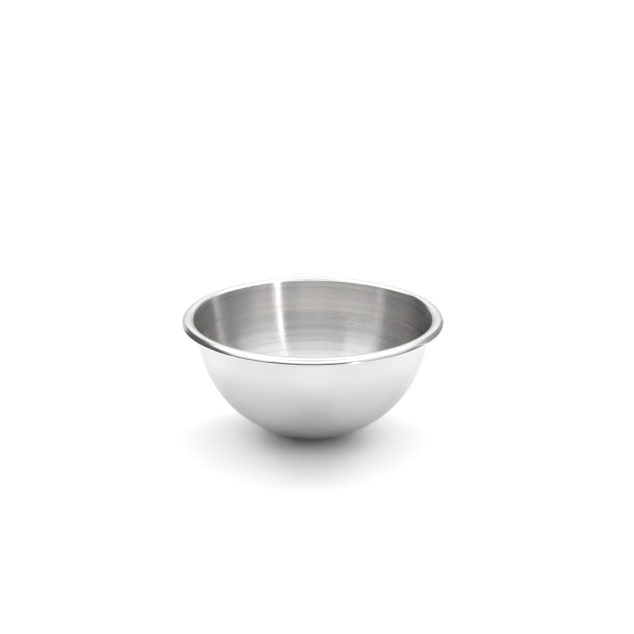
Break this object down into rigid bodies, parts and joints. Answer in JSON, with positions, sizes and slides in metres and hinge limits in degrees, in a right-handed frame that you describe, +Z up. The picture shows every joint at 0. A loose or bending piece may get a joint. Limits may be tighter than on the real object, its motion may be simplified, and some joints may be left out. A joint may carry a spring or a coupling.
{
  "type": "round-bottom mixing bowl",
  "caption": "Hemispherical stainless steel mixing bowl with a small flat to stand on and a wide half-round rolled rim stiffened by a hidden wire.",
  "frame": {"origin": "middle of the flat that the bowl stands on", "axes": "+Z up along the bowl's axis of revolution, out of its mouth; -Y faces the viewer of the picture and +X is to that viewer's right"},
  "size_m": [0.2716, 0.2716, 0.1261],
  "materials": {
    "bowl_shell": "fine turned brushing on the food side, satin outside, polished rim",
    "rim_wire": "plain drawn wire, hidden in the rim"
  },
  "bodies": {
    "root": {"bowl_shell": "bowl_shell", "rim_wire": "rim_wire"}
  },
  "joints": []
}
